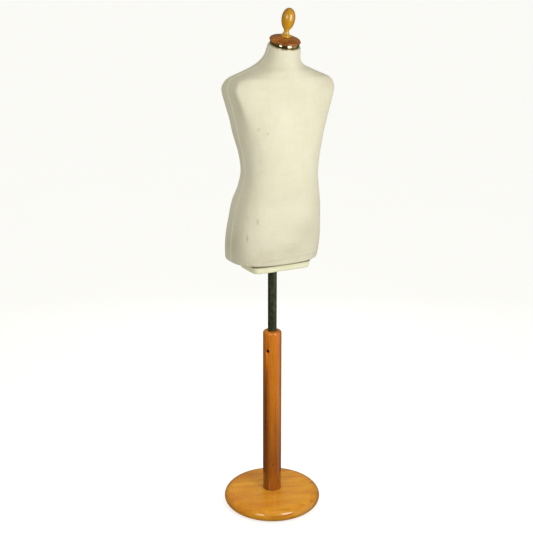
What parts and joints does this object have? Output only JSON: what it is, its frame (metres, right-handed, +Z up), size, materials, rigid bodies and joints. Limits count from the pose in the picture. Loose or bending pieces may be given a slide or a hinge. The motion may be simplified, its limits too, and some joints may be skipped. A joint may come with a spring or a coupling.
{
  "type": "tailor's bust on a stand",
  "caption": "Child-size canvas-covered torso form with a turned wooden neck cap, on a height-adjustable rod in a bored wooden post with a round wooden base.",
  "frame": {"origin": "centre of the base on the floor", "axes": "+Z up along the post and rod, the bust faces -Y and its own left side is at +X"},
  "size_m": [0.325, 0.315, 1.5853],
  "materials": {
    "base_wood": "satin varnish",
    "post_wood": "satin varnish",
    "cap_wood": "gloss varnish",
    "plain_wood": "unfinished",
    "canvas": "plain weave",
    "wadding": "soft felted layer",
    "papier_mache": "matt",
    "felt": "pressed felt",
    "dark_steel": "dull, darkened with age",
    "bright_steel": "plain",
    "chrome": "polished",
    "brass": "satin",
    "nylon": "matt"
  },
  "bodies": {
    "stand": {"base_disc": "base_wood", "felt_pad_1": "felt", "felt_pad_2": "felt", "felt_pad_3": "felt", "felt_pad_4": "felt", "base_washer": "bright_steel", "base_bolt": "bright_steel", "post": "post_wood", "clamp_insert": "brass"},
    "clamp_shoe": {"clamp_shoe": "brass"},
    "clamp_screw": {"clamp_screw": "dark_steel"},
    "rod": {"height_rod": "dark_steel", "rod_top_plug": "nylon", "rod_foot_plug": "nylon"},
    "torso": {"rod_socket": "dark_steel", "socket_screw_1": "bright_steel", "socket_screw_2": "bright_steel", "socket_screw_3": "bright_steel", "socket_screw_4": "bright_steel", "bottom_panel": "plain_wood", "panel_nail_1": "bright_steel", "panel_nail_2": "bright_steel", "panel_nail_3": "bright_steel", "panel_nail_4": "bright_steel", "panel_nail_5": "bright_steel", "panel_nail_6": "bright_steel", "bottom_block": "plain_wood", "block_cover": "canvas", "block_screw_1": "bright_steel", "block_screw_2": "bright_steel", "block_screw_3": "bright_steel", "block_screw_4": "bright_steel", "shell_front": "papier_mache", "shell_back": "papier_mache", "padding_front": "wadding", "padding_back": "wadding", "cover_front": "canvas", "cover_back_left": "canvas", "cover_back_right": "canvas", "neck_block": "plain_wood", "neck_nail_1": "bright_steel", "neck_nail_2": "bright_steel", "neck_nail_3": "bright_steel", "neck_nail_4": "bright_steel", "neck_ring": "chrome", "neck_cap": "cap_wood", "finial_stud": "bright_steel", "finial": "base_wood"}
  },
  "joints": [
    {"name": "height_slide", "type": "slide", "parent": "stand", "child": "rod", "axis": [0, 0, 1], "range_m": [-0.2, 0.135]},
    {"name": "torso_swivel", "type": "hinge", "parent": "rod", "child": "torso", "pos_m": [0, 0, 0.9], "axis": [0, 0, 1], "continuous": true},
    {"name": "clamp_feed", "type": "slide", "parent": "stand", "child": "clamp_shoe", "axis": [-0.8572, -0.515, 0], "range_m": [0, 0.003]},
    {"name": "clamp_turn", "type": "hinge", "parent": "clamp_shoe", "child": "clamp_screw", "pos_m": [0, 0, 0.536], "axis": [-0.8572, -0.515, 0], "range_deg": [0, 865]}
  ],
  "couplings": [
    {"joint": "clamp_turn", "follows": "clamp_feed", "rad_per_m": 5026.5}
  ]
}
